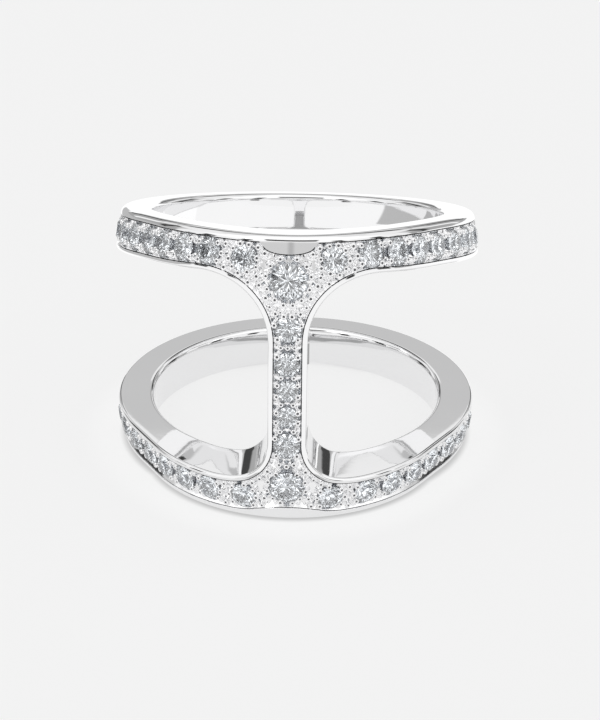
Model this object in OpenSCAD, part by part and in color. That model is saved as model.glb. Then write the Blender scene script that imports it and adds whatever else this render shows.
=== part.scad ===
// A ring of two round bands joined by one upright bar at the front, with a
// field of small brilliants let into the front of the bands and the bar.
//
// The part is drawn in its own frame: +Z up, front towards -Y, left and right
// mirror images about X = 0. It lies on the flat edge of its lower band.
//
// Three frames are used:
//   band frame   a band's own axis is Z and its outer edge lies on Z = 0, so its
//                near edge, the one that faces the other band, is at Z = band_w
//   finger frame the finger axis is Z and the bands mirror about Z = 0
//   row frame    the finished part, standing on Z = 0

/* [Finger hole] */
// Radius of the hole that the finger goes through
finger_r = 8.65; // [7.5:0.05:10.5]

/* [Bands] */
// Thickness of a band's wall at the sides and the back
wall_t = 2.2; // [1.9:0.05:2.6]
// Thickness of a band's wall at the middle of the front
front_t = 3.65; // [3.2:0.05:4.0]
// Radius of the fuller front's outline, seen along the band's axis
front_r = 9.3; // [8.8:0.05:9.8]
// Width of a band along its own axis
band_w = 2.5; // [2.3:0.05:3.0]
// How much smaller the outer radius is at a band's outer edge than at its near edge
band_taper = 0.3; // [0.2:0.05:0.6]
// Bevel along a band's outer edge
edge_bevel = 0.25; // [0.1:0.05:0.4]
// Distance from the ring's middle plane to each band's near edge, along the finger axis
half_gap = 4.4; // [3.8:0.1:5.5]
// Tilt of each band against the finger axis; the bands draw together at the back
band_tilt = 8; // [6:0.5:10]

/* [Bar] */
// Width of the upright bar at its narrowest
bar_w = 2.2; // [2.0:0.05:2.8]
// How far the bar's face stands in front of the bands' near edges
bar_proud = 0.05; // [0.04:0.01:0.1]
// How far the bar's back lies outside the wall of the finger hole
bar_relief = 0.1; // [0.05:0.05:0.3]
// Radius of the fillets where the bar meets the upper band
fillet_head = 3.9; // [3.0:0.1:4.4]
// Radius of the fillets where the bar meets the lower band
fillet_foot = 2.2; // [1.6:0.1:3.0]

/* [Paved field] */
// Depth of the recess that the paved field sits in
pave_depth = 1.15; // [1.1:0.05:1.3]
// How far the field's face lies below the metal's face
pave_sink = 0.06; // [0.02:0.01:0.12]
// Width of the plain rim left along the near edges and the bar's sides
rim_w = 0.24; // [0.18:0.01:0.35]
// Width of the plain rim left along the outer edges, with the bevel
edge_rim = 0.38; // [0.35:0.01:0.6]
// Angle from the front at which the field ends on each side of a band
pave_end = 88; // [70:1:90]
// Gap between the field and the metal around it
pave_gap = 0.03; // [0.02:0.01:0.05]

/* [Stones on the centre line] */
// Diameter of the head stone
head_d = 2.05; // [1.8:0.05:2.2]
// Diameter of the foot stone
foot_d = 2.0; // [1.8:0.05:2.2]
// Table width as a share of a stone's diameter
table_share = 0.56; // [0.5:0.01:0.65]
// Crown height as a share of a stone's diameter
crown_share = 0.155; // [0.12:0.005:0.18]
// Pavilion depth as a share of a stone's diameter
pavilion_share = 0.43; // [0.4:0.005:0.45]
// Girdle thickness as a share of a stone's diameter
girdle_share = 0.03; // [0.02:0.005:0.05]
// How far a stone's girdle lies below the metal's face
girdle_sink = 0.10; // [0.06:0.01:0.16]
// Gap between a stone and its seat
seat_gap = 0.02; // [0.01:0.005:0.03]

/* [Hidden] */
$fn = 96;
outer_r = finger_r + wall_t;
// how far in front of the band's axis the fuller front's outline is centred
front_k = finger_r + front_t - front_r;
// radius gained per unit of height on a band's outer face
slope = band_taper / (band_w - edge_bevel);
// outer radius that the outer face would have at Z = 0 without its bevel
foot_r = outer_r - slope * band_w;
// radius of the bar's outer face at the middle of the front
bar_r = (finger_r + front_t) * cos(band_tilt) + band_w / 2 * sin(band_tilt) + bar_proud;
// where each band's middle crosses the finger axis
mid_z = half_gap + band_w / 2 / cos(band_tilt);
// columns: name, height along the finger axis, diameter, lean of its face (+ up),
// how far the metal's face there lies behind the bar's face
HEAD = ["head", 5.68, head_d, 6, 0.09];
FOOT = ["foot", -6.45, foot_d, -14, 0.14];
BAR = [
    ["bar 1",  2.95, 1.50, 0, 0],
    ["bar 2",  0.90, 1.40, 0, 0],
    ["bar 3", -0.65, 1.25, 0, 0],
    ["bar 4", -2.20, 1.25, 0, 0],
    ["bar 5", -3.90, 1.50, 0, 0],
];
// how far the window cuts reach above a band's near edge
reach = 6.4;
// middle of the finished part's footprint, front to back
front_y = -(finger_r + front_t);
back_y = (outer_r - band_taper) * cos(2 * band_tilt)
    + (band_w / 2 - edge_bevel) * sin(2 * band_tilt) + 2 * mid_z * sin(band_tilt);
shift_y = -(front_y + back_y) / 2;

// finger frame -> row frame
module in_row() {
    translate([0, shift_y, band_w / 2])
        rotate([-band_tilt, 0, 0])
            translate([0, 0, mid_z]) children();
}
// band frame -> finger frame, lower band
module at_lower() {
    translate([0, 0, -mid_z]) rotate([band_tilt, 0, 0])
        translate([0, 0, -band_w / 2]) children();
}
// band frame -> finger frame, upper band
module at_upper() { mirror([0, 0, 1]) at_lower() children(); }

// ---- bands ---------------------------------------------------------------
// A disc from Z = z0 to z1 with a slanted side: a round outline, and a smaller
// one set forward that makes the front fuller. The round one's radius is r at
// Z = 0 and grows by s per unit of height; the other's grows alike.
module disc(r, s, z0, z1) {
    rotate_extrude($fn = 180) cone_side(r, s, z0, z1);
    translate([0, -front_k, 0]) rotate_extrude($fn = 180)
        cone_side(r - outer_r + front_r, s, z0, z1);
}
module cone_side(r, s, z0, z1) {
    polygon([[0, z0], [r + s * z0, z0], [r + s * z1, z1], [0, z1]]);
}
module band_solid() {
    difference() {
        intersection() {
            disc(foot_r, slope, 0, band_w);
            disc(outer_r - band_taper - edge_bevel, 1, 0, band_w);
        }
        translate([0, 0, -1]) cylinder(r = finger_r - 1, h = band_w + 2, $fn = 180);
    }
}

// ---- bar -----------------------------------------------------------------
// Outline of the right-hand window's corner beside the bar, in a band frame
// seen from the front, grown by g over the metal
module window_outline(fillet, g) {
    cx = bar_w / 2 + fillet;
    cz = band_w + fillet;
    translate([cx, cz]) circle(r = fillet + g, $fn = 96);
    translate([cx, band_w - g]) square([16, reach + g]);
    translate([bar_w / 2 - g, cz]) square([16, band_w + reach - cz]);
}
module window_cut(fillet, g) {
    for (side = [0, 1]) mirror([side, 0, 0])
        rotate([90, 0, 0]) linear_extrude(20) window_outline(fillet, g);
}
// Everything on a band's near side, from height h up
module near_side(h) { translate([-20, -20, h]) cube([40, 40, 16]); }
// A round column along the finger axis that follows the fuller front
module front_column(r) {
    translate([0, -front_k * cos(band_tilt), -15])
        cylinder(r = r - front_k * cos(band_tilt), h = 30, $fn = 180);
}

// The front stretch between the bands, with the two windows cut away beside it
module bar_stock(r_out, g, lap) {
    difference() {
        intersection() {
            front_column(r_out);
            translate([-8.2, -14, -10]) cube([16.4, 8, 20]);
            at_lower() near_side(band_w - lap);
            at_upper() near_side(band_w - lap);
        }
        at_lower() { window_cut(fillet_foot, g); fillet_end(fillet_foot); }
        at_upper() { window_cut(fillet_head, g); fillet_end(fillet_head); }
    }
}
// Ends a fillet just before it runs out flat on the near edge
module fillet_end(fillet) {
    for (side = [0, 1]) mirror([side, 0, 0])
        translate([bar_w / 2 + 0.9 * fillet, -20, band_w - 1]) cube([16, 20, 2]);
}

// ---- paved field ---------------------------------------------------------
// A band's share of the field: grow is 0 for the field itself, and the gap for
// the recess; top is how far the shape reaches above the metal's face
module band_field(fillet, grow, top) {
    difference() {
        intersection() {
            disc(foot_r + top, slope, edge_rim - grow, band_w + 0.01);
            translate([-15, -15, -1])
                cube([30, 15 - outer_r * cos(pave_end) + grow, 6]);
        }
        disc(foot_r - pave_depth - grow, slope, -1, band_w + 1);
        window_cut(fillet, rim_w - grow);
    }
}
module field(grow, top) {
    at_lower() band_field(fillet_foot, grow, top);
    at_upper() band_field(fillet_head, grow, top);
    difference() {
        bar_stock(bar_r + top, rim_w - grow, 0.01);
        front_column(bar_r - pave_depth - grow);
    }
}

// ---- stones --------------------------------------------------------------
// A round brilliant's outer form, table up, girdle's top edge on Z = 0
module brilliant_form(d, grow) {
    rotate_extrude($fn = 48)
        polygon([
            [0, -(pavilion_share + girdle_share) * d - grow],
            [d / 2 + grow, -girdle_share * d],
            [d / 2 + grow, 0],
            [table_share * d / 2 + grow, crown_share * d + grow],
            [0, crown_share * d + grow],
        ]);
}
// Places a form on the centre line at its height, facing out of the ring
module on_line(s) {
    translate([0, -(bar_r - s[4] - girdle_sink), s[1]])
        rotate([90 - s[3], 0, 0]) children();
}
module stone(s) { color("white") in_row() on_line(s) brilliant_form(s[2], 0); }

// ---- nodes ---------------------------------------------------------------
module ring_body() {
    color("silver") in_row() difference() {
        union() {
            at_lower() band_solid();
            at_upper() band_solid();
            difference() {
                bar_stock(bar_r, 0, 0.02);
                cylinder(r = finger_r + bar_relief, h = 40, center = true, $fn = 180);
            }
        }
        cylinder(r = finger_r, h = 40, center = true, $fn = 180);
        field(pave_gap, 1);
    }
}
module pave_field() {
    color("gainsboro") in_row() difference() {
        field(0, -pave_sink);
        for (s = concat([HEAD, FOOT], BAR)) on_line(s) {
            brilliant_form(s[2], seat_gap);
            cylinder(r = s[2] / 2 + seat_gap, h = 1, $fn = 48);
        }
    }
}

ring_body();
pave_field();
stone(HEAD);  // diamond_head
stone(BAR[0]);  // diamond_bar_1
stone(BAR[1]);  // diamond_bar_2
stone(BAR[2]);  // diamond_bar_3
stone(BAR[3]);  // diamond_bar_4
stone(BAR[4]);  // diamond_bar_5
stone(FOOT);  // diamond_foot
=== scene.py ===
import math

import bpy
import numpy as np
from mathutils import Matrix, Vector


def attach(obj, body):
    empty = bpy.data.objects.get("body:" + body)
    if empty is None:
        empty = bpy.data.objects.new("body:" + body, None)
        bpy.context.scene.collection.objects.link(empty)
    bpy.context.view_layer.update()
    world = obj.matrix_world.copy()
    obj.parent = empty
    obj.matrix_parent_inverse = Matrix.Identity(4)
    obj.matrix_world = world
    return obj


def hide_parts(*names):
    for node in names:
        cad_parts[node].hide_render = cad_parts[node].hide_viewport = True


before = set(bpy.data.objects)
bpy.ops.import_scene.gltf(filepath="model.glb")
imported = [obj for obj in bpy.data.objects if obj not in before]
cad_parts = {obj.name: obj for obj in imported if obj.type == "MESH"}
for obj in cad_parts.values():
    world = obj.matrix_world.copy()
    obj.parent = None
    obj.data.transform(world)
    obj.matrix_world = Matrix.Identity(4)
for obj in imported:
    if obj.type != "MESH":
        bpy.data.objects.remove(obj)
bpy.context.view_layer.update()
MM = 0.001
rng = np.random.default_rng(7)

# ---- sizes, the same as the part's source -----------------------------------
FINGER_R = 8.65
RA = 10.85  # outer radius of a band at its near edge
RB = 9.3  # radius of the fuller front's outline
FRONT_K = 3.0  # how far in front of the axis that outline is centred
W = 2.5
SLOPE = 0.3 / 2.25
TILT = math.radians(8)
CT, ST = math.cos(TILT), math.sin(TILT)
MID = 4.4 + W / 2 / CT
BAR_W = 2.2
BAR_R = 12.3 * CT + W / 2 * ST + 0.05
SHIFT_Y = 0.15348819
RIM_W = 0.30  # plain rim beside the windows and the bar's sides
EDGE_RIM = 0.44  # plain rim along the bands' outer edges, with their rounding
PAVE_DEPTH = 1.15
COS_A = 1 / math.hypot(1, SLOPE)

# A flare where the bar runs into a band: a tight arc and a slow one.
#   tight, slow: radii; turn: how much of the right angle the slow arc turns;
#   lens, lens_x, lens_p: how much wider the plain outer rim is at the middle of
#   the front, over what half width, and how square that widening is
#   dip: how far the band's outer edge draws in at the middle of the front
FOOT = dict(tight=2.2, slow=8.0, turn=math.radians(12), lens=0.42, lens_x=3.3, lens_p=2.0, dip=0.0)
HEAD = dict(tight=3.95, slow=5.0, turn=math.radians(8), lens=0.63, lens_x=1.52, lens_p=0.38, dip=0.38)
for F in (FOOT, HEAD):
    F["x0"] = BAR_W / 2 + F["slow"] * math.sin(F["turn"]) + F["tight"] * (1 - math.sin(F["turn"]))


# ---- frames -------------------------------------------------------------------
def to_finger(p):
    x, y, z = p[..., 0], p[..., 1], p[..., 2] - W / 2
    return np.stack([x, y * CT - z * ST, y * ST + z * CT - MID], -1)


def to_band(p):
    x, y, z = p[..., 0], p[..., 1], p[..., 2] + MID
    return np.stack([x, y * CT + z * ST, -y * ST + z * CT + W / 2], -1)


def to_row(p):
    """finger frame -> row frame"""
    x, y, z = p[..., 0], p[..., 1], p[..., 2] + MID
    return np.stack([x, y * CT + z * ST + SHIFT_Y, -y * ST + z * CT + W / 2], -1)


def unit(v):
    return v / np.maximum(np.linalg.norm(v, axis=-1, keepdims=True), 1e-12)


def smooth(a, b, x):
    t = np.clip((x - a) / (b - a), 0, 1)
    return t * t * (3 - 2 * t)


# ---- the ring's outer surface ---------------------------------------------------
TURN_N = math.acos((RA - RB) / FRONT_K)  # where the outline's straight stretch lies
Q1 = RB * TURN_N
Q2 = Q1 + FRONT_K * math.sin(TURN_N)
QEND = Q2 + RA * (math.pi - TURN_N)  # half the near edge's outline, from the front


def outline(q, off):
    """Point of a band's outline in plan; q is the length along it from the front,
    off how much smaller its radii are than at the near edge."""
    q, off = np.broadcast_arrays(np.asarray(q, float), np.asarray(off, float))
    ta = q / RB
    tb = TURN_N + (q - Q2) / RA
    f = np.clip((q - Q1) / (Q2 - Q1), 0, 1)
    sx, cx = math.sin(TURN_N), math.cos(TURN_N)
    x = np.where(q < Q1, (RB - off) * np.sin(ta), np.where(q > Q2, (RA - off) * np.sin(tb),
                 (RB - off) * sx + f * (RA - RB) * sx))
    y = np.where(q < Q1, -FRONT_K - (RB - off) * np.cos(ta), np.where(q > Q2, -(RA - off) * np.cos(tb),
                 -FRONT_K * (1 - f) - ((RB - off) * (1 - f) + (RA - off) * f) * cx))
    return x, y


def band_face(q, z):
    """Band frame point on the slanted outer face."""
    z = np.asarray(z, float)
    x, y = outline(q, SLOPE * (W - z))
    return np.stack([x, y, np.broadcast_to(z, x.shape)], -1)


def capsule(x, y, ra, rb, k):
    """Signed distance of the outline of two circles, the small one set forward."""
    b = (ra - rb) / k
    a = math.sqrt(1 - b * b)
    px, py = np.abs(x), -y
    d = -b * px + a * py
    return np.where(d < 0, np.hypot(px, py) - ra,
                    np.where(d > a * k, np.hypot(px, py - k) - rb, a * px + b * py - ra))


def skin(p, kind):
    """Implicit outer surface in the band frame: the band's slanted face and the
    bar's upright one, run into each other."""
    f = to_finger(p)
    g_band = (capsule(p[..., 0], p[..., 1], RA, RB, FRONT_K) + SLOPE * (W - p[..., 2])) * COS_A
    g_bar = capsule(f[..., 0], f[..., 1], 11.3, BAR_R - FRONT_K * CT, FRONT_K * CT)
    k = 0.34 * (1 - smooth(0.3 * kind["x0"], 0.92 * kind["x0"], np.abs(p[..., 0]))) + 1e-6
    h = np.maximum(k - np.abs(g_band - g_bar), 0) / k
    return np.maximum(g_band, g_bar) + h * h * k / 4


def skin_normal(p, kind, e=2e-4):
    n = [(skin(p + d, kind) - skin(p - d, kind)) for d in np.eye(3) * e]
    return unit(np.stack(n, -1))


def drop(p, d, kind):
    """Moves points along d until they lie on the outer surface."""
    d = np.asarray(d, float)
    p = np.array(p, float)
    for _ in range(14):
        g = skin(p, kind)
        s = (skin(p + d * 1e-3, kind) - g) / 1e-3
        s = np.where(np.abs(s) < 0.15, np.where(s < 0, -0.15, 0.15), s)
        p = p - (g / s)[..., None] * d
    return p


Y_BAND = np.array([0.0, -1.0, 0.0])
Y_FING = np.array([0.0, -CT, ST])  # the finger frame's -Y seen in the band frame


DOME = 0.09  # how far the hole's wall stands back at a band's edges


def stand_back(z):
    """How far the hole's wall lies outside the finger's radius at height z of the
    band frame, and its slope: a low dome across each band, level behind the bar."""
    s = (np.asarray(z, float) - W / 2) / (W / 2)
    t = np.exp(-(np.maximum(s, 1) - 1) / 0.15)
    return DOME * np.where(s < 1, s * s, 1.3 - 0.3 * t), DOME / (W / 2) * np.where(s < 1, 2 * s, 2 * t)


def bore(phi, z_f):
    """Band frame point on the finger hole's wall."""
    phi, z_f = np.broadcast_arrays(np.asarray(phi, float), np.asarray(z_f, float))
    r = FINGER_R + stand_back(FINGER_R * np.cos(phi) * ST + (z_f + MID) * CT + W / 2)[0]
    return to_band(np.stack([r * np.sin(phi), -r * np.cos(phi), z_f], -1))


def bore_at(phi, z):
    """The same, at height z of the band frame."""
    phi, z = np.broadcast_arrays(np.asarray(phi, float), np.asarray(z, float))
    r = FINGER_R + stand_back(z)[0]
    y = (-r * np.cos(phi) + (z - W / 2) * ST) / CT
    return np.stack([r * np.sin(phi), y, z], -1)


# ---- columns of a quarter of the ring ------------------------------------------
class Quarter:
    """Lines across a quarter of the ring, from the back round to the middle of the
    bar. Each column runs from the window's edge to the band's outer edge or, past
    the corner column, to the centre line."""

    def __init__(self, kind, step1, step2, step3, q_from=QEND):
        self.kind = kind
        x0 = kind["x0"]
        q0 = RB * math.asin(x0 / RB)
        n1 = max(8, int(math.ceil((q_from - q0) / step1)))
        s1 = np.linspace(0, 1, n1 + 1)[:-1]
        # the flare's outline, in equal steps of length
        la, lb = kind["slow"] * kind["turn"], kind["tight"] * (math.pi / 2 - kind["turn"])
        n2 = int(math.ceil((la + lb) / step2))
        ll = np.linspace(0, la + lb, n2 + 1)
        tau = np.where(ll < la, ll / kind["slow"], kind["turn"] + (ll - la) / kind["tight"])
        st, ct = np.sin(tau), np.cos(tau)
        s_t, c_t = math.sin(kind["turn"]), math.cos(kind["turn"])
        fx = np.where(ll < la, x0 - kind["slow"] * st, x0 - kind["slow"] * s_t - kind["tight"] * (st - s_t))
        fz = np.where(ll < la, W + kind["slow"] * (1 - ct), W + kind["slow"] * (1 - c_t) + kind["tight"] * (c_t - ct))
        self.n1, self.n2 = n1, n2
        top = to_finger(drop(np.array([BAR_W / 2, -12.3, fz[-1]]), Y_BAND, kind))[2]
        self.z_out = top
        n3 = max(3, int(math.ceil(-top / step3)))
        self.n3 = n3
        self.s3 = np.linspace(0, 1, n3 + 1)[1:]
        self.q1 = q_from + (q0 - q_from) * s1
        self.q0, self.q_from = q0, q_from
        self.fx, self.fz, self.fn = fx, fz, np.stack([st, 0 * st, ct], -1)
        phi0 = math.asin(x0 / FINGER_R)
        full = (QEND - self.q1) / (QEND - q0)
        self.phi1 = math.pi - (math.pi - phi0) * full
        # corner column: where the flare has turned half way
        self.corner = n1 + int(np.argmin(np.abs(tau - math.radians(47))))
        self.count = n1 + n2 + 1 + n3
        c = self.corner - n1
        sc = np.linspace(0, 1, c + 1)
        self.qb = np.concatenate([self.q1, q0 * (1 - sc)])
        self.phib = np.concatenate([self.phi1, phi0 * (1 - sc)])
        self.rest = np.linspace(0, 1, self.count - self.corner)  # corner -> middle of the bar

    def window(self, g):
        """Points on the outer surface g inside the window's edge."""
        k = self.kind
        a = band_face(self.q1, W - g)
        p = np.stack([self.fx - g * self.fn[:, 0], np.full(self.n2 + 1, -11.0), self.fz - g * self.fn[:, 2]], -1)
        b = drop(p, Y_BAND, k)
        zf = self.z_out * (1 - self.s3)
        f = np.stack([np.full(self.n3, BAR_W / 2 - g), np.full(self.n3, -12.3), zf], -1)
        c = drop(to_band(f), Y_FING, k)
        return np.concatenate([a, b, c])

    def wall_normal(self):
        up = np.tile([0.0, 0.0, 1.0], (self.n1, 1))
        side = np.tile([1.0, 0.0, 0.0], (self.n3, 1))
        return np.concatenate([up, self.fn, side])

    def window_in(self):
        """The window's edge on the finger hole's wall."""
        a = bore_at(self.phi1, W)
        phi = np.arcsin(np.clip(self.fx / (FINGER_R + stand_back(self.fz)[0]), -1, 1))
        b = bore_at(phi, self.fz)
        z1 = to_finger(b[-1])[2]
        c = bore(np.full(self.n3, math.asin(BAR_W / 2 / (FINGER_R + 1.3 * DOME))), z1 * (1 - self.s3))
        return np.concatenate([a, b, c])

    def dip(self, q):
        return self.kind["dip"] * np.exp(-((q / 6.2) ** 2))

    def rim(self, q):
        x = outline(q, 0)[0]
        k = self.kind
        return EDGE_RIM + self.dip(q) + k["lens"] * np.maximum(0, 1 - (x / k["lens_x"]) ** 2) ** k["lens_p"]

    def outer(self, g):
        """Points on the outer surface g inside the paved field's outer edge, up to
        the corner column."""
        return band_face(self.qb, self.rim(self.qb) + g)

    def centre(self, p0):
        """Points on the centre line from p0, the corner column's, to the middle of
        the bar."""
        z0 = to_finger(p0)[2]
        f = np.stack([0 * self.rest, np.full(len(self.rest), -12.3), z0 * (1 - self.rest)], -1)
        return drop(to_band(f), Y_FING, self.kind)

    def far_line(self, g):
        a = self.outer(g)
        return np.concatenate([a, self.centre(a[-1])[1:]])

    def across(self, near, far, v):
        """A row of points at share v of the way from near to far, on the surface."""
        p = near + (far - near) * v
        out = p.copy()
        out[self.n1:] = drop(p[self.n1:], Y_FING, self.kind)
        return out


def round_rows(edge, na, nb, r, n):
    """Rows round an edge of radius r between faces with normals na and nb."""
    dot = np.clip((na * nb).sum(-1, keepdims=True), -1, 1)
    c = edge - r * (na + nb) / (1 + dot)
    w = np.arccos(dot)
    rows = []
    for i in range(n + 1):
        t = i / n
        rows.append(c + r * unit(np.sin((1 - t) * w) * na + np.sin(t * w) * nb))
    return rows


def between(a, b, n):
    """The rows strictly between rows a and b."""
    return [a + (b - a) * i / n for i in range(1, n)]


# ---- mesh building ---------------------------------------------------------------
class Shell:
    """Collects grids of points and welds them into one mesh."""

    def __init__(self):
        self.v, self.f, self.m, self.n = [], [], [], 0

    def grid(self, rows, flip=False, mat=0):
        """mat: a material's number, or one for each cell"""
        a = np.stack(rows)  # rows x columns x 3
        r, c = a.shape[:2]
        i = self.n + np.arange(r * c).reshape(r, c)
        q = np.stack([i[:-1, :-1], i[:-1, 1:], i[1:, 1:], i[1:, :-1]], -1).reshape(-1, 4)
        if flip:
            q = q[:, ::-1]
        self.v.append(a.reshape(-1, 3))
        self.f.append(q)
        self.m.append(np.full(len(q), mat) if np.isscalar(mat) else mat.reshape(-1))
        self.n += r * c

    def arrays(self):
        v = np.concatenate(self.v)
        f = np.concatenate(self.f)
        m = np.concatenate(self.m)
        return v, f, m


def weld(v, f, m, tol=2e-4):
    """Joins points that lie within tol of each other and drops faces that vanish."""
    cell = np.round(v / tol).astype(np.int64)
    order = np.lexsort(cell.T)
    same = np.zeros(len(v), bool)
    same[1:] = (cell[order][1:] == cell[order][:-1]).all(1)
    # points just either side of a cell's border: join by nearness along the sort
    idx = np.cumsum(~same) - 1
    ids = np.empty(len(v), np.int64)
    ids[order] = idx
    nv = np.zeros((idx[-1] + 1, 3))
    cnt = np.zeros(idx[-1] + 1)
    np.add.at(nv, ids, v)
    np.add.at(cnt, ids, 1)
    nv /= cnt[:, None]
    faces, mats = [], []
    g = ids[f]
    for row, mat in zip(g.tolist(), m.tolist()):
        out = [row[0]]
        for k in row[1:]:
            if k != out[-1]:
                out.append(k)
        if out[0] == out[-1]:
            out.pop()
        if len(out) >= 3 and len(set(out)) == len(out):
            faces.append(out)
            mats.append(mat)
    return nv, faces, mats


def make_mesh(name, v, faces, mats=None):
    me = bpy.data.meshes.new(name)
    me.from_pydata((np.asarray(v) * MM).tolist(), [], faces)
    if mats is not None:
        me.polygons.foreach_set("material_index", np.asarray(mats, np.int32))
    me.validate(verbose=False)
    me.update()
    ob = bpy.data.objects.new(name, me)
    bpy.context.scene.collection.objects.link(ob)
    return ob


def join_close(ob, dist):
    """Merges points closer than dist, in metres, and closes the ends."""
    import bmesh

    bm = bmesh.new()
    bm.from_mesh(ob.data)
    bmesh.ops.remove_doubles(bm, verts=bm.verts, dist=dist)
    bmesh.ops.dissolve_degenerate(bm, edges=bm.edges, dist=dist / 4)
    loose = [e for e in bm.edges if len(e.link_faces) == 1]
    if loose:
        bmesh.ops.holes_fill(bm, edges=loose, sides=0)
    bmesh.ops.recalc_face_normals(bm, faces=bm.faces)
    bm.to_mesh(ob.data)
    bm.free()
    ob.data.update()


def soft_normals(ob, limit_deg):
    """Corner normals from the faces round each point that turn less than the limit
    from the corner's own face, large faces counting most, so that flats stay flat
    right up to a rounded edge."""
    me = ob.data
    nf, nl = len(me.polygons), len(me.loops)
    fn = np.zeros(nf * 3)
    area = np.zeros(nf)
    start = np.zeros(nf, np.int64)
    total = np.zeros(nf, np.int64)
    lv = np.zeros(nl, np.int64)
    me.polygons.foreach_get("normal", fn)
    me.polygons.foreach_get("area", area)
    me.polygons.foreach_get("loop_start", start)
    me.polygons.foreach_get("loop_total", total)
    me.loops.foreach_get("vertex_index", lv)
    fn = fn.reshape(-1, 3)
    lf = np.repeat(np.arange(nf), total)
    order = np.argsort(lv, kind="stable")
    cnt = np.bincount(lv, minlength=len(me.vertices))
    first = np.concatenate([[0], np.cumsum(cnt)[:-1]])
    out = np.zeros((nl, 3))
    cos_l = math.cos(math.radians(limit_deg))
    for k in range(cnt.max()):
        # pair each corner with the k-th corner at its point
        has = cnt[lv] > k
        mine = np.nonzero(has)[0]
        other = order[first[lv[mine]] + k]
        fo, fm = lf[other], lf[mine]
        ok = (fn[fo] * fn[fm]).sum(1) > cos_l
        w = np.where(ok, area[fo], 0)
        out[mine] += fn[fo] * w[:, None]
    out = unit(out + fn[lf] * 1e-12)
    me.polygons.foreach_set("use_smooth", np.ones(nf, bool))
    me.normals_split_custom_set(out.tolist())
    me.update()


def four(build):
    """Runs build for both kinds of quarter and mirrors each left and right; returns
    points in the row frame."""
    vs, fs, ms, n = [], [], [], 0
    for kind, upper in ((FOOT, False), (HEAD, True)):
        v, f, m = build(kind)
        p = to_finger(v)
        if upper:
            p = p * [1, 1, -1]
        for side in (1, -1):
            q = p * [side, 1, 1]
            vs.append(to_row(q))
            fs.append((f[:, ::-1] if (side < 0) != upper else f) + n)
            ms.append(m)
            n += len(q)
    return np.concatenate(vs), np.concatenate(fs), np.concatenate(ms)


# ---- ring body ---------------------------------------------------------------------
R_WIN, R_OUT, R_BORE = 0.19, 0.44, 0.34  # edge roundings
Q_PAVE = Q2 + RA * (math.radians(88) - TURN_N)


def body_quarter(kind):
    q = Quarter(kind, 0.2, 0.13, 0.25)
    s = Shell()
    c = q.corner + 1
    deep = np.where(np.concatenate([q.q1, np.zeros(q.count - q.n1)]) <= Q_PAVE, PAVE_DEPTH, 0.0)[:, None]

    def sunk(p, share):
        return p - skin_normal(p, kind) * deep[: len(p)] * share

    e_out, e_in = q.window(0), q.window_in()
    n_out, n_wall = skin_normal(e_out, kind), q.wall_normal()
    f_in = to_finger(e_in)
    n_bore_f = unit(unit(np.stack([-f_in[:, 0], -f_in[:, 1], 0 * f_in[:, 0]], -1)) + stand_back(e_in[:, 2])[1][:, None] * [0, 0, 1])
    turn = lambda n: np.stack([n[:, 0], n[:, 1] * CT + n[:, 2] * ST, -n[:, 1] * ST + n[:, 2] * CT], -1)
    n_bore = turn(n_bore_f)
    # window side: field's floor, recess wall, rim, edge, wall, edge, hole
    win = [sunk(q.window(RIM_W + 0.06), 1.0), sunk(q.window(RIM_W), 0.035), q.window(RIM_W - 0.03)]
    outer_edge = round_rows(e_out, n_out, n_wall, R_WIN, 6)
    inner_edge = round_rows(e_in, n_wall, n_bore, R_BORE, 7)
    win += outer_edge + between(outer_edge[-1], inner_edge[0], 6) + inner_edge
    # band's outer side, up to the corner column
    low_z = q.dip(q.qb)
    b_out = band_face(q.qb, low_z)
    b_in = bore_at(q.phib, low_z)
    nb_out = skin_normal(b_out, kind)
    down = np.tile([0.0, 0.0, -1.0], (c, 1))
    fb = to_finger(b_in)
    nb_bore = turn(unit(unit(np.stack([-fb[:, 0], -fb[:, 1], 0 * fb[:, 0]], -1)) + stand_back(b_in[:, 2])[1][:, None] * [0, 0, 1]))
    low = [sunk(q.outer(0.06), 1.0), sunk(q.outer(0.0), 0.035), q.outer(-0.03)]
    edge_b = round_rows(b_out, nb_out, down, R_OUT, 8)
    span = between(low[-1], edge_b[0], 3)
    edge_c = round_rows(b_in, down, nb_bore, R_BORE, 7)
    low += span + edge_b + between(edge_b[-1], edge_c[0], 6) + edge_c
    # the field's floor
    near, far = q.window(RIM_W + 0.06), q.far_line(0.06)
    floor = [win[0]]
    for i in range(1, 10):
        floor.append(sunk(q.across(near, far, i / 10), 1.0))
    last = sunk(far, 1.0)
    last[:c] = low[0]
    floor.append(last)
    # the hole's wall
    a, b = win[-1], low[-1]
    fa = to_finger(a)
    fb = to_finger(b)
    z0, p0 = fb[-1, 2], 0.0
    ctr = to_finger(bore(0 * q.rest, z0 * (1 - q.rest)))[1:]
    fb = np.concatenate([fb, ctr])
    pa, pb = np.arctan2(fa[:, 0], -fa[:, 1]), np.arctan2(fb[:, 0], -fb[:, 1])
    hole = [a]
    for i in range(1, 12):
        t = i / 12
        hole.append(bore(pa + (pb - pa) * t, fa[:, 2] + (fb[:, 2] - fa[:, 2]) * t))
    hole.append(to_band(fb))
    s.grid(win)
    s.grid(floor, flip=True)
    s.grid(low, flip=True)
    s.grid(hole)
    return s.arrays()


v, f, m = four(body_quarter)
v, faces, mats = weld(v, f, m)
ring = make_mesh("ring", v, faces)
join_close(ring, 4e-7)
soft_normals(ring, 40)


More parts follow.
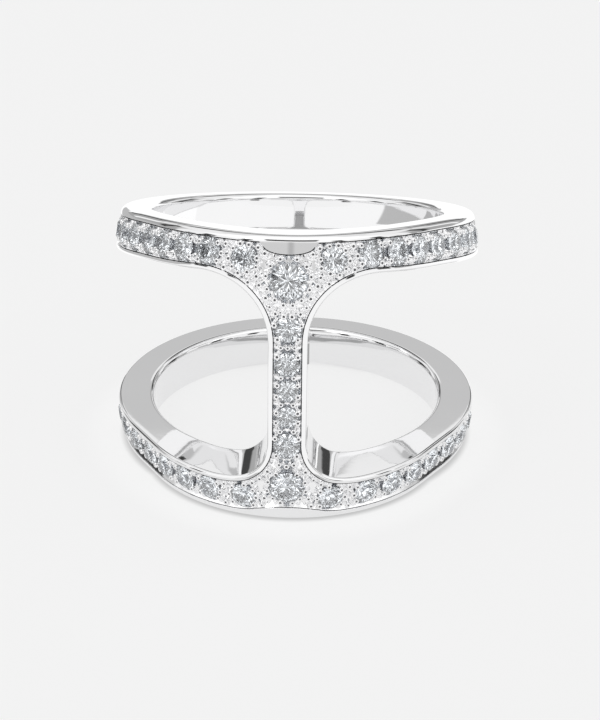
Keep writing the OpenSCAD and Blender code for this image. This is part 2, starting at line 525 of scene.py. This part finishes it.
# ---- brilliants ------------------------------------------------------------------
def brilliant(d, rot=0.0):
    """A round brilliant's points and faces: girdle's top edge on Z = 0, table up."""
    r = d / 2
    v, f = [], []

    def ring_at(rad, z, n, off):
        i0 = len(v)
        for i in range(n):
            a = rot + 2 * math.pi * (i + off) / n
            v.append((rad * math.cos(a), rad * math.sin(a), z))
        return [i0 + i for i in range(n)]

    zt, zs = 0.152 * d, 0.083 * d
    table = ring_at(0.56 * r, zt, 8, 0)
    kite = ring_at(0.775 * r, zs, 8, 0.5)
    gird = ring_at(r, 0.0, 32, 0)
    girb = ring_at(r, -0.025 * d, 32, 0)
    low = ring_at(0.235 * r, -0.36 * d, 8, 0.5)
    tip = len(v)
    v.append((0, 0, -0.445 * d))
    f.append(table)
    for i in range(8):
        j = (i + 1) % 8
        k = (i - 1) % 8
        f.append([table[j], table[i], kite[i]])  # star
        g = lambda n: gird[n % 32]
        f.append([table[i], kite[k], g(4 * i), kite[i]])  # main, from table to girdle
        f.append([kite[i], g(4 * i), g(4 * i + 1), g(4 * i + 2)])
        f.append([kite[i], g(4 * i + 2), g(4 * i + 3), g(4 * i + 4)])
        h = lambda n: girb[n % 32]
        f.append([h(4 * i + 2), h(4 * i + 1), h(4 * i), low[i]])
        f.append([h(4 * i + 4), h(4 * i + 3), h(4 * i + 2), low[i]])
        f.append([h(4 * i), low[k], tip, low[i]])
    for i in range(32):
        j = (i + 1) % 32
        f.append([gird[j], gird[i], girb[i], girb[j]])
    return np.array(v), f


def stone_axes(n):
    """Two directions square to each of the normals n."""
    up = np.array([0.0, 0.0, 1.0])
    a = unit(np.cross(up, n))
    return a, np.cross(n, a)


def placed(stones):
    """One mesh of brilliants; stones: (centre of girdle plane, normal, diameter, turn)"""
    vs, fs, n = [], [], 0
    for c, nrm, d, turn in stones:
        v, f = brilliant(d, turn)
        a, b = stone_axes(np.asarray(nrm, float))
        vs.append(np.asarray(c) + v[:, :1] * a + v[:, 1:2] * b + v[:, 2:] * np.asarray(nrm))
        fs += [[i + n for i in face] for face in f]
        n += len(v)
    return np.concatenate(vs), fs


def tidy(ob):
    import bmesh

    bm = bmesh.new()
    bm.from_mesh(ob.data)
    bmesh.ops.recalc_face_normals(bm, faces=bm.faces)
    bm.to_mesh(ob.data)
    bm.free()
    ob.data.update()


# The centre line's stones: node, height along the finger axis, diameter, lean of
# the face in degrees (+ up), how far the metal there lies behind the bar's face
CENTRE = [
    ("diamond_head", 5.68, 2.05, 6, 0.09),
    ("diamond_foot", -6.45, 2.00, -14, 0.14),
    ("diamond_bar_1", 2.95, 1.50, 0, 0),
    ("diamond_bar_2", 0.90, 1.40, 0, 0),
    ("diamond_bar_3", -0.65, 1.25, 0, 0),
    ("diamond_bar_4", -2.20, 1.25, 0, 0),
    ("diamond_bar_5", -3.90, 1.50, 0, 0),
]
SINK = 0.10
BAND_D = 1.5
BAND_Q = [2.60, 4.86, 6.78, 8.68, 10.60, 12.55, 14.50, 16.45]  # along the outline, from the front
BAND_Z = np.full(8, 1.36)  # the stones' heights in the band frame
HEAD_Z = BAND_Z + [0.34, 0.10, 0.02, 0, 0, 0, 0, 0]

finger_n = lambda n: to_row(n) - to_row(np.zeros(3))

centre_stones = {}
line_pts = []  # centres in the finger frame, with radius
for name, h, d, lean, back in CENTRE:
    a = math.radians(lean)
    n_f = np.array([0.0, -math.cos(a), math.sin(a)])
    c_f = np.array([0.0, -(BAR_R - back - SINK), h])
    centre_stones[name] = (to_row(c_f), finger_n(n_f), d, 0.3 + 0.7 * len(centre_stones))
    line_pts.append((c_f + n_f * SINK, d / 2))

stones_of = {}
band_stones = []
for kind, upper in ((FOOT, False), (HEAD, True)):
    p = band_face(np.array(BAND_Q), HEAD_Z if upper else BAND_Z)
    n = skin_normal(p, kind)
    pf, nf = to_finger(p), to_finger(p + n) - to_finger(p)
    stones_of[upper] = [(a, BAND_D / 2) for a in pf]
    for i, (a, b) in enumerate(zip(pf, nf)):
        a = a - b * SINK
        for side in (1, -1):
            s = np.array([side, 1, -1 if upper else 1])
            turn = rng.uniform(0, 6.28)
            band_stones.append((to_row(a * s), finger_n(b * s), BAND_D, turn))

pieces = {}
for name, spec in centre_stones.items():
    v, f = placed([spec])
    ob = make_mesh("brilliant_" + name.split("_", 1)[1], v, f)
    tidy(ob)
    pieces[name] = ob
v, f = placed(band_stones)
side_stones = make_mesh("band_brilliants", v, f)
tidy(side_stones)

# ---- beads, the small grains that hold the stones --------------------------------
# x and height from the head or foot stone's middle, one of each mirrored pair
HEAD_BEADS = [(0.46, 1.24), (1.00, 0.86), (1.26, 0.30), (1.18, -0.42), (0.74, -1.02), (0.26, -1.30)]
FOOT_BEADS = [(0.0, 1.36), (0.42, 1.46), (1.06, 0.36), (1.10, -0.22)]
BAR_BEADS = [(0.0, 1.90), (0.38, 1.92), (0.36, 0.15), (0.34, -1.42), (0.38, -3.00)]
beads = []  # (centre on the surface, normal, radius) in the finger frame
spots = {False: [], True: []}  # the same centres for a right-hand quarter


def bead_at(kind, upper, x, z_f, r):
    """A bead on the front at x and height z_f along the finger axis; for the upper
    half the height is mirrored first."""
    f = np.array([x, -12.3, -z_f if upper else z_f])
    p = drop(to_band(f), Y_FING, kind)
    n = skin_normal(p[None], kind)[0]
    pf, nf = to_finger(p), to_finger(p + n) - to_finger(p)
    spots[upper].append(pf)
    s = np.array([1, 1, -1 if upper else 1])
    return pf * s, nf * s, r


def add_pair(kind, upper, x, z_f, r=0.175):
    pf, nf, r = bead_at(kind, upper, x, z_f, r)
    for side in ((1, -1) if x > 0.01 else (1,)):
        s = np.array([side, 1, 1])
        beads.append((pf * s, nf * s, r * rng.uniform(0.94, 1.06)))


for x, dz in HEAD_BEADS:
    add_pair(HEAD, True, x, 5.68 + dz)
for x, dz in FOOT_BEADS:
    add_pair(FOOT, False, x, -6.45 + dz)
for x, z_f in BAR_BEADS:
    add_pair(HEAD if z_f > 0 else FOOT, z_f > 0, x, z_f, 0.16)
for kind, upper in ((FOOT, False), (HEAD, True)):
    for i, q in enumerate(BAND_Q):
        for along in (-1, 1):
            if i == 0 and along < 0 and upper:
                continue
            for up in (-1, 1):
                r = BAND_D / 2 + 0.06
                a = math.radians(38)
                p = band_face(q + along * r * math.cos(a), (HEAD_Z if upper else BAND_Z)[i] + up * r * math.sin(a))
                n = skin_normal(p[None], kind)[0]
                pf, nf = to_finger(p), to_finger(p + n) - to_finger(p)
                spots[upper].append(pf)
                for side in (1, -1):
                    s = np.array([side, 1, -1 if upper else 1])
                    beads.append((pf * s, nf * s, 0.175 * rng.uniform(0.93, 1.07)))


# ---- paved field -----------------------------------------------------------------
class Cells:
    """A quarter of the field as a fine grid, with each point's distance to the rims
    and the stones round it."""

    def __init__(self, kind):
        upper = kind is HEAD
        q = Quarter(kind, 0.052, 0.055, 0.07, q_from=Q_PAVE - 0.03)
        self.q, self.kind, self.upper = q, kind, upper
        self.c = q.corner + 1
        near, far = q.window(RIM_W + 0.03), q.far_line(0.03)
        self.near, self.far, self.rows_n = near, far, 46
        self.pts = [near] + [q.across(near, far, i / 46) for i in range(1, 46)] + [far]
        width = np.linalg.norm(far - near, axis=-1)
        d_end = np.full(q.count, 9.0)
        d_end[: q.n1] = q.q_from - q.q1
        self.edge = []
        for i in range(47):
            e, ef = i / 46 * width, (1 - i / 46) * width
            ef[self.c :] = 9.0
            self.edge.append(np.minimum(np.minimum(e, ef), d_end))
        self.seats = list(stones_of[upper])
        for (cf, r), (name, h, *_rest) in zip(line_pts, CENTRE):
            if upper and h > -1.5:
                self.seats.append((cf * [1, 1, -1], r))
            if not upper and h < 1.7:
                self.seats.append((cf, r))

    def fill(self, gap, x_max):
        """Sets a bead wherever there is room for one."""
        p = np.concatenate(self.pts)
        e = np.concatenate(self.edge)
        pf = to_finger(p)
        ok = (e > 0.15) & (pf[:, 0] < x_max) & ((pf[:, 0] > 0.2) | (pf[:, 0] < 0.003)) & (pf[:, 2] < -0.25)
        for cf, r in self.seats:
            ok &= np.linalg.norm(pf - cf, axis=-1) > r + 0.04
        idx = rng.permutation(np.nonzero(ok)[0])
        # nearest to a stone first, so that the beads ring the stones
        d = np.full(len(idx), 9.0)
        for cf, r in self.seats:
            d = np.minimum(d, np.linalg.norm(pf[idx] - cf, axis=-1) - r)
        idx = idx[np.argsort(np.round(d / 0.12), kind="stable")]
        have = [np.asarray(a) for a in spots[self.upper]]
        for k in idx:
            a = pf[k]
            if have and np.min(np.linalg.norm(np.array(have) - a, axis=1)) < gap:
                continue
            have.append(a)
            spots[self.upper].append(a)
            n = skin_normal(p[k][None], self.kind)[0]
            nf = to_finger(p[k] + n) - a
            for side in (1, -1) if a[0] > 0.01 else (1,):
                s = np.array([side, 1, -1 if self.upper else 1])
                beads.append((a * s, nf * s, 0.19 * rng.uniform(0.80, 1.08)))


cells = {id(kind): Cells(kind) for kind in (FOOT, HEAD)}
for kind in (FOOT, HEAD):
    cells[id(kind)].fill(0.49, 4.7)


def bead_mesh(beads, name):
    """Small domes with a cupped top, as a beading tool leaves them."""
    prof = [(1.0, -0.9), (1.0, -0.15), (0.95, 0.14), (0.83, 0.38), (0.66, 0.51), (0.48, 0.48), (0.35, 0.32), (0.24, 0.12)]
    n = 14
    vs, fs, ms, k = [], [], [], 0
    for c, nrm, r in beads:
        c, nrm = to_row(c), finger_n(nrm)
        a, b = stone_axes(nrm)
        pts = []
        for rad, h in prof:
            for i in range(n):
                t = 2 * math.pi * i / n
                pts.append(c + r * (rad * (math.cos(t) * a + math.sin(t) * b) + (h - 0.35) * nrm))
        pts.append(c + r * (0.04 - 0.35) * nrm)
        pts.append(c + r * (-0.9 - 0.35) * nrm)
        vs.append(np.array(pts))
        for j in range(len(prof) - 1):
            for i in range(n):
                i2 = (i + 1) % n
                fs.append([k + j * n + i, k + j * n + i2, k + (j + 1) * n + i2, k + (j + 1) * n + i])
                # the cup's inner faces and its top cap take the second slot, a dark metal of painted shade
                ms.append(1 if j >= 6 else 0)
        last = (len(prof) - 1) * n
        for i in range(n):
            fs.append([k + last + i, k + last + (i + 1) % n, k + len(pts) - 2])
            fs.append([k + (i + 1) % n, k + i, k + len(pts) - 1])
            ms += [1, 0]
        k += len(pts)
    ob = make_mesh(name, np.concatenate(vs), fs, ms)
    tidy(ob)
    ob.data.polygons.foreach_set("use_smooth", np.ones(len(ob.data.polygons), bool))
    return ob


bead_ob = bead_mesh(beads, "bead_grains")


def field_quarter(kind):
    """The field's cut surface: bright-cut slopes down from the rims, a seat for
    every stone and low ridges between the beads."""
    g = cells[id(kind)]
    q, c, near, far, pts, upper = g.q, g.c, g.near, g.far, g.pts, g.upper
    out, deep = [], []
    for p, e in zip(pts, g.edge):
        pf = to_finger(p)
        near_bead = np.full(q.count, 9.0)
        for c_b in spots[upper]:
            near_bead = np.minimum(near_bead, np.linalg.norm(pf - c_b, axis=-1))
        # how deep: a steep bright cut beside the rims, hollows between the beads
        low = 0.11 + 0.22 * smooth(0.12, 0.32, near_bead)
        depth = np.minimum(0.035 + 1.15 * e, low)
        for cf, r in g.seats:
            dist = np.linalg.norm(pf - cf, axis=-1)
            cone = 0.20 - 0.85 * (dist - r)
            depth = np.maximum(depth, np.where(dist > r - 0.01, np.minimum(cone, 0.03 + 1.3 * e), 0))
            bed = np.minimum(0.20 + 0.13 + 0.92 * (r - dist), 0.05 + 3.5 * e)
            depth = np.where(dist <= r - 0.01, np.maximum(depth, np.minimum(bed, 1.05)), depth)
        out.append(p - skin_normal(p, kind) * depth[:, None])
        deep.append(depth)
    s = Shell()
    deep = np.array(deep)
    # faces deep in a stone's seat take the second slot, a darker metal of painted shade
    seat = np.minimum(np.minimum(deep[:-1, :-1], deep[1:, :-1]), np.minimum(deep[:-1, 1:], deep[1:, 1:])) > 0.42
    s.grid(out, flip=True, mat=seat.astype(int))
    # edges turned down to the field's back
    s.grid([near - skin_normal(near, kind) * 1.10, out[0]], flip=True)
    s.grid([out[-1][:c], far[:c] - skin_normal(far[:c], kind) * 1.10], flip=True)
    ground = [near - skin_normal(near, kind) * 1.10]
    for i in range(1, 8):
        p = q.across(near, far, i / 8)
        ground.append(p - skin_normal(p, kind) * 1.10)
    ground.append(far - skin_normal(far, kind) * 1.10)
    s.grid(ground)
    return s.arrays()


v, f, m = four(field_quarter)
v, faces, mats = weld(v, f, m)
field = make_mesh("pave_ground", v, faces, mats)
join_close(field, 4e-7)
soft_normals(field, 24)


# ---- materials ---------------------------------------------------------------------
def material(name):
    m = bpy.data.materials.new(name)
    m.use_nodes = True
    return m, m.node_tree, m.node_tree.nodes["Principled BSDF"]


def metal(name, color, rough, spread, bump, scale):
    """Polished metal: faint cloudiness in its polish and the finest polishing lines."""
    m, nt, p = material(name)
    p.inputs["Metallic"].default_value = 1.0
    p.inputs["Specular IOR Level"].default_value = 0.5
    tc = nt.nodes.new("ShaderNodeTexCoord")
    cloud = nt.nodes.new("ShaderNodeTexNoise")
    cloud.inputs["Scale"].default_value = scale
    cloud.inputs["Detail"].default_value = 5
    nt.links.new(tc.outputs["Object"], cloud.inputs["Vector"])
    mr = nt.nodes.new("ShaderNodeMapRange")
    mr.inputs["From Min"].default_value = 0.3
    mr.inputs["From Max"].default_value = 0.7
    mr.inputs["To Min"].default_value = max(0.0, rough - spread)
    mr.inputs["To Max"].default_value = rough + spread
    nt.links.new(cloud.outputs["Fac"], mr.inputs["Value"])
    nt.links.new(mr.outputs["Result"], p.inputs["Roughness"])
    ramp = nt.nodes.new("ShaderNodeMix")
    ramp.data_type = "RGBA"
    ramp.inputs[6].default_value = (*[c * 0.975 for c in color], 1)
    ramp.inputs[7].default_value = (*color, 1)
    nt.links.new(cloud.outputs["Fac"], ramp.inputs[0])
    nt.links.new(ramp.outputs[2], p.inputs["Base Color"])
    if bump:
        fine = nt.nodes.new("ShaderNodeTexNoise")
        fine.inputs["Scale"].default_value = scale * 9
        fine.inputs["Detail"].default_value = 3
        nt.links.new(tc.outputs["Object"], fine.inputs["Vector"])
        b = nt.nodes.new("ShaderNodeBump")
        b.inputs["Strength"].default_value = bump
        b.inputs["Distance"].default_value = 0.00002
        nt.links.new(fine.outputs["Fac"], b.inputs["Height"])
        nt.links.new(b.outputs["Normal"], p.inputs["Normal"])
    return m


gold = metal("polished_white_gold", (0.90, 0.90, 0.905), 0.035, 0.015, 0.02, 260)
cut = metal("bright_cut_metal", (0.97, 0.97, 0.975), 0.10, 0.04, 0.03, 900)
# painted shade: a dark metal for the beads' cupped tops, standing in for the shade in the hollows
bead_cup_painted_shade = metal("bead_hollow_painted_shade", (0.20, 0.20, 0.21), 0.35, 0.08, 0.15, 900)
# painted shade: a darker, rougher metal for the deep faces of the stones' seats
seat = metal("seat_metal_painted_shade", (0.58, 0.58, 0.60), 0.28, 0.08, 0.15, 900)
diamond, nt, p = material("brilliant")
p.inputs["Base Color"].default_value = (0.93, 0.965, 1.0, 1)
p.inputs["Roughness"].default_value = 0.0
p.inputs["IOR"].default_value = 2.417
p.inputs["Transmission Weight"].default_value = 1.0
# the faintest veil of fine polishing haze on the facets
tc = nt.nodes.new("ShaderNodeTexCoord")
haze = nt.nodes.new("ShaderNodeTexNoise")
haze.inputs["Scale"].default_value = 1500
nt.links.new(tc.outputs["Object"], haze.inputs["Vector"])
mr = nt.nodes.new("ShaderNodeMapRange")
mr.inputs["To Min"].default_value = 0.0
mr.inputs["To Max"].default_value = 0.02
nt.links.new(haze.outputs["Fac"], mr.inputs["Value"])
nt.links.new(mr.outputs["Result"], p.inputs["Roughness"])

ring.data.materials.append(gold)
field.data.materials.append(cut)
field.data.materials.append(seat)
bead_ob.data.materials.append(cut)
bead_ob.data.materials.append(bead_cup_painted_shade)
side_stones.data.materials.append(diamond)
for ob in pieces.values():
    ob.data.materials.append(diamond)

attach(ring, "root")
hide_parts("ring_body")
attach(field, "root")
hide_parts("pave_field")
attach(bead_ob, "root")
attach(side_stones, "root")
for name, ob in pieces.items():
    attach(ob, "root")
    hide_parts(name)

# ---- floor ---------------------------------------------------------------------------
me = bpy.data.meshes.new("floor")
me.from_pydata([(3 * math.cos(a), 3 * math.sin(a), 0) for a in np.linspace(0, 2 * math.pi, 65)[:-1]], [], [list(range(64))])
floor = bpy.data.objects.new("floor", me)
bpy.context.scene.collection.objects.link(floor)
m = bpy.data.materials.new("pale_floor")
m.use_nodes = True
nt = m.node_tree
nt.nodes.clear()


def node_math(op, a, b=None, c=None):
    n = nt.nodes.new("ShaderNodeMath")
    n.operation = op
    for i, x in enumerate((a, b, c)):
        if x is None:
            continue
        if isinstance(x, (int, float)):
            n.inputs[i].default_value = x
        else:
            nt.links.new(x, n.inputs[i])
    return n.outputs[0]


def step(val, a, b, lo=0.0, hi=1.0):
    n = nt.nodes.new("ShaderNodeMapRange")
    n.interpolation_type = "SMOOTHSTEP"
    if isinstance(val, (int, float)):
        n.inputs["Value"].default_value = val
    else:
        nt.links.new(val, n.inputs["Value"])
    n.inputs["From Min"].default_value = a
    n.inputs["From Max"].default_value = b
    for k, x in (("To Min", lo), ("To Max", hi)):
        if isinstance(x, (int, float)):
            n.inputs[k].default_value = x
        else:
            nt.links.new(x, n.inputs[k])
    return n.outputs["Result"]


out = nt.nodes.new("ShaderNodeOutputMaterial")
add = nt.nodes.new("ShaderNodeAddShader")
em = nt.nodes.new("ShaderNodeEmission")
df = nt.nodes.new("ShaderNodeBsdfDiffuse")
df.inputs["Color"].default_value = (0.16, 0.16, 0.16, 1)
nt.links.new(em.outputs[0], add.inputs[0])
nt.links.new(df.outputs[0], add.inputs[1])
nt.links.new(add.outputs[0], out.inputs["Surface"])
tc = nt.nodes.new("ShaderNodeTexCoord")
sep = nt.nodes.new("ShaderNodeSeparateXYZ")
nt.links.new(tc.outputs["Object"], sep.inputs[0])
ax = node_math("ABSOLUTE", sep.outputs[0])
ln = nt.nodes.new("ShaderNodeVectorMath")
ln.operation = "LENGTH"
nt.links.new(tc.outputs["Object"], ln.inputs[0])
fore = nt.nodes.new("ShaderNodeVectorMath")
fore.operation = "DISTANCE"
nt.links.new(tc.outputs["Object"], fore.inputs[0])
fore.inputs[1].default_value = (0, (SHIFT_Y - FRONT_K) * MM, 0)
# how far outside the lower band's footprint
gap = node_math("MINIMUM", node_math("SUBTRACT", ln.outputs["Value"], (RA - 0.55) * MM),
                node_math("SUBTRACT", fore.outputs["Value"], (RB - 0.55) * MM))
# painted light: a brighter halo on the floor from about 1 to 3.4 mm outside the footprint
seen = step(gap, 0.0009, 0.0034, 0.798, 0.758)
# painted shadow: a dark line on the floor right at the footprint's edge, standing in for the contact shadow; inside
# the footprint the floor returns to its plain level
seen = step(gap, 0.0, 0.0006, 0.46, seen)
seen = step(gap, -0.0012, -0.0008, 0.758, seen)
# beyond the pale sheet, painted shade for reflections: the floor to the left is darker, and only reflections see it
ratio = node_math("DIVIDE", sep.outputs[1], node_math("MAXIMUM", ax, 0.001))
side = node_math("MULTIPLY", step(sep.outputs[0], -0.029, -0.027, 1, 0), step(ratio, -0.30, -0.22))
side = node_math("MULTIPLY", side, step(ratio, 3.2, 4.0, 1, 0))
# painted shade for reflections: the floor within 16.5 mm of the ring is darker (0.76), with a darker ring from 17.2
# to 19 mm (0.42); beyond 20 mm it is pale (0.90), and palest behind (0.98)
sheet = step(ln.outputs["Value"], 0.0165, 0.0172, 0.76, 0.42)
sheet = step(step(ln.outputs["Value"], 0.0190, 0.0200), 0, 1, sheet, 0.90)
sheet = step(sep.outputs[1], 0.0085, 0.0095, sheet, 0.98)
mirror = step(side, 0, 1, sheet, 0.40)
# what the stones see: painted dark blotches on the floor, met only by rays that have passed through the stones
blot = nt.nodes.new("ShaderNodeTexNoise")
blot.inputs["Scale"].default_value = 48
blot.inputs["Detail"].default_value = 1
nt.links.new(tc.outputs["Object"], blot.inputs["Vector"])
broken = step(blot.outputs["Fac"], 0.45, 0.57, 0.01, 1.15)
lp = nt.nodes.new("ShaderNodeLightPath")
both = step(lp.outputs["Is Glossy Ray"], 0.0, 1.0, seen, mirror)
both = step(lp.outputs["Is Transmission Ray"], 0.0, 1.0, both, broken)
# the shade inside the ring, for light that has already crossed it
shade = node_math("MULTIPLY", step(ax, 0.0034, 0.0046, 1, 0), step(sep.outputs[1], -0.008, -0.006))
shade = node_math("MULTIPLY", shade, step(sep.outputs[1], 0.0125, 0.014, 1, 0))
shade = node_math("MULTIPLY", shade, lp.outputs["Is Glossy Ray"])
shade = node_math("MULTIPLY", shade, step(lp.outputs["Ray Depth"], 1.2, 1.8))
both = step(shade, 0, 1, both, 0.30)
nt.links.new(both, em.inputs["Strength"])
em.inputs["Color"].default_value = (1, 1, 1, 1)
floor.data.materials.append(m)

# ---- studio light ----------------------------------------------------------------------
world = bpy.data.worlds.new("studio")
bpy.context.scene.world = world
world.use_nodes = True
nt = world.node_tree
nt.nodes.clear()
w_out = nt.nodes.new("ShaderNodeOutputWorld")
bg = nt.nodes.new("ShaderNodeBackground")
nt.links.new(bg.outputs[0], w_out.inputs["Surface"])
tc = nt.nodes.new("ShaderNodeTexCoord")


def dot(vec):
    n = nt.nodes.new("ShaderNodeVectorMath")
    n.operation = "DOT_PRODUCT"
    nt.links.new(tc.outputs["Generated"], n.inputs[0])
    n.inputs[1].default_value = vec
    return n.outputs["Value"]


def panel(level, az, el, w, h, value, soft=0.02):
    """Puts a soft-edged panel of the light's level over what is there: az degrees
    from the back (+Y) towards +X, el above the floor, w and h half sizes."""
    a, e = math.radians(az), math.radians(el)
    n = Vector((math.sin(a) * math.cos(e), math.cos(a) * math.cos(e), math.sin(e)))
    u = Vector((math.cos(a), -math.sin(a), 0))
    v = n.cross(u)
    dn = dot(n)
    safe = node_math("MAXIMUM", dn, 0.02)
    du = node_math("ABSOLUTE", node_math("DIVIDE", dot(u), safe))
    dv = node_math("ABSOLUTE", node_math("DIVIDE", dot(v), safe))
    tw, th = math.tan(math.radians(w)), math.tan(math.radians(h))
    mask = node_math("MULTIPLY", step(du, tw - soft, tw + soft, 1, 0), step(dv, th - soft, th + soft, 1, 0))
    mask = node_math("MULTIPLY", mask, step(dn, 0.02, 0.03))
    # level + mask * (value - level)
    diff = node_math("SUBTRACT", value, level)
    return node_math("MULTIPLY_ADD", mask, diff, level)


x, y, z = dot((1, 0, 0)), dot((0, 1, 0)), dot((0, 0, 1))


def mix(mask, a, b):
    """a where the mask is 0, b where it is 1"""
    if isinstance(a, (int, float)) and isinstance(b, (int, float)):
        return node_math("MULTIPLY_ADD", mask, b - a, a)
    return node_math("MULTIPLY_ADD", mask, node_math("SUBTRACT", b, a), a)


def sin_d(deg):
    return math.sin(math.radians(deg))


# behind the ring: a white horizon, then darker up to a bright top
back = mix(step(z, sin_d(5), sin_d(9)), 1.12, 0.40)
back = mix(step(z, sin_d(17), sin_d(20)), back, 0.60)
back = mix(step(z, sin_d(35), sin_d(38)), back, 0.10)
back = mix(step(z, sin_d(43), sin_d(60)), back, 0.85)
back = mix(step(z, sin_d(68), sin_d(74)), back, 1.12)
# in front: white sheet low down, a pale top
front = mix(step(z, sin_d(30), sin_d(38)), 1.0, 1.16)
level = mix(step(y, -0.06, 0.06), front, back)
PANELS = [
    # az, el, w, h, value, soft
    (62, 4, 40, 13, 0.42, 0.02),
    (-62, 4, 40, 13, 0.42, 0.02),
    (-2.6, 31.6, 17, 4.1, 0.93, 0.006),  # a softbox that the front's top faces see
    (142, 20, 4, 17, 0.05, 0.02),
    (-142, 20, 4, 17, 0.05, 0.02),
    (180, 18, 26, 11, 0.68, 0.05),  # behind the camera
    (181, 18, 2.0, 11, 0.50, 0.03),
    (181, 48, 17, 10, 0.08, 0.02),  # and above it
    (70, 45, 20, 13, 0.95, 0.03),
    (-70, 45, 20, 13, 0.95, 0.03),
    (24, 17, 3, 13, 0.06, 0.01),  # dark strips that outline the metal
    (-24, 17, 3, 13, 0.06, 0.01),
    (44, 17, 4, 13, 0.98, 0.01),
    (-44, 17, 4, 13, 0.98, 0.01),
    (62, 17, 5, 13, 0.05, 0.01),
    (-62, 17, 5, 13, 0.05, 0.01),
    (86, 17, 6, 13, 0.98, 0.01),
    (-86, 17, 6, 13, 0.98, 0.01),
    (110, 15, 5, 13, 0.06, 0.01),
    (-110, 15, 5, 13, 0.06, 0.01),
]
for az, el, w, h, val, soft in PANELS:
    level = panel(level, az, el, w, h, val, soft)
# what the stones see: light broken by dark shapes all round
blot = nt.nodes.new("ShaderNodeTexNoise")
blot.inputs["Scale"].default_value = 2.9
blot.inputs["Detail"].default_value = 1
nt.links.new(tc.outputs["Generated"], blot.inputs["Vector"])
broken = step(blot.outputs["Fac"], 0.44, 0.56, 0.02, 1.65)
# and a dark card in front
card = step(dot((0, -math.cos(math.radians(24)), math.sin(math.radians(24)))), math.cos(math.radians(25)), math.cos(math.radians(17)), 1.0, 0.20)
broken = node_math("MULTIPLY", broken, card)
lp = nt.nodes.new("ShaderNodeLightPath")
level = mix(lp.outputs["Is Transmission Ray"], level, broken)
nt.links.new(level, bg.inputs["Strength"])
bg.inputs["Color"].default_value = (1, 1, 1, 1)

key = bpy.data.lights.new("key", "AREA")
key.shape = "DISK"
key.size = 0.05
key.energy = 0.02
key_ob = bpy.data.objects.new("key", key)
bpy.context.scene.collection.objects.link(key_ob)
key_ob.location = (-0.10, -0.12, 0.20)
key_ob.rotation_euler = (Vector((0, 0, 0.008)) - key_ob.location).to_track_quat("-Z", "Y").to_euler()

# ---- camera --------------------------------------------------------------------------
EL, YAW, ROLL = math.radians(27.06), math.radians(2.34), math.radians(0.3)
d = Vector((math.sin(YAW) * math.cos(EL), -math.cos(YAW) * math.cos(EL), math.sin(EL)))
right = Vector((math.cos(YAW), math.sin(YAW), 0))
up = d.cross(right)
r2 = right * math.cos(ROLL) + up * math.sin(ROLL)
u2 = up * math.cos(ROLL) - right * math.sin(ROLL)
cam = bpy.data.cameras.new("camera")
cam.sensor_width = 36
cam.lens = 2262.0 / 720 * 36
cam.shift_x = (300 - 295.43) / 720
cam.shift_y = (424.86 - 360) / 720
cam.clip_start = 0.005
cam.clip_end = 20
cam_ob = bpy.data.objects.new("camera", cam)
bpy.context.scene.collection.objects.link(cam_ob)
m4 = Matrix((r2, u2, d)).transposed().to_4x4()
m4.translation = Vector((0, SHIFT_Y * MM, 0)) + d * 0.140
cam_ob.matrix_world = m4
scene = bpy.context.scene
scene.camera = cam_ob

scene.view_settings.view_transform = "Standard"
scene.cycles.use_denoising = True
scene.cycles.max_bounces = 24
scene.cycles.glossy_bounces = 12
scene.cycles.transmission_bounces = 20
scene.cycles.diffuse_bounces = 3
scene.cycles.sample_clamp_indirect = 8
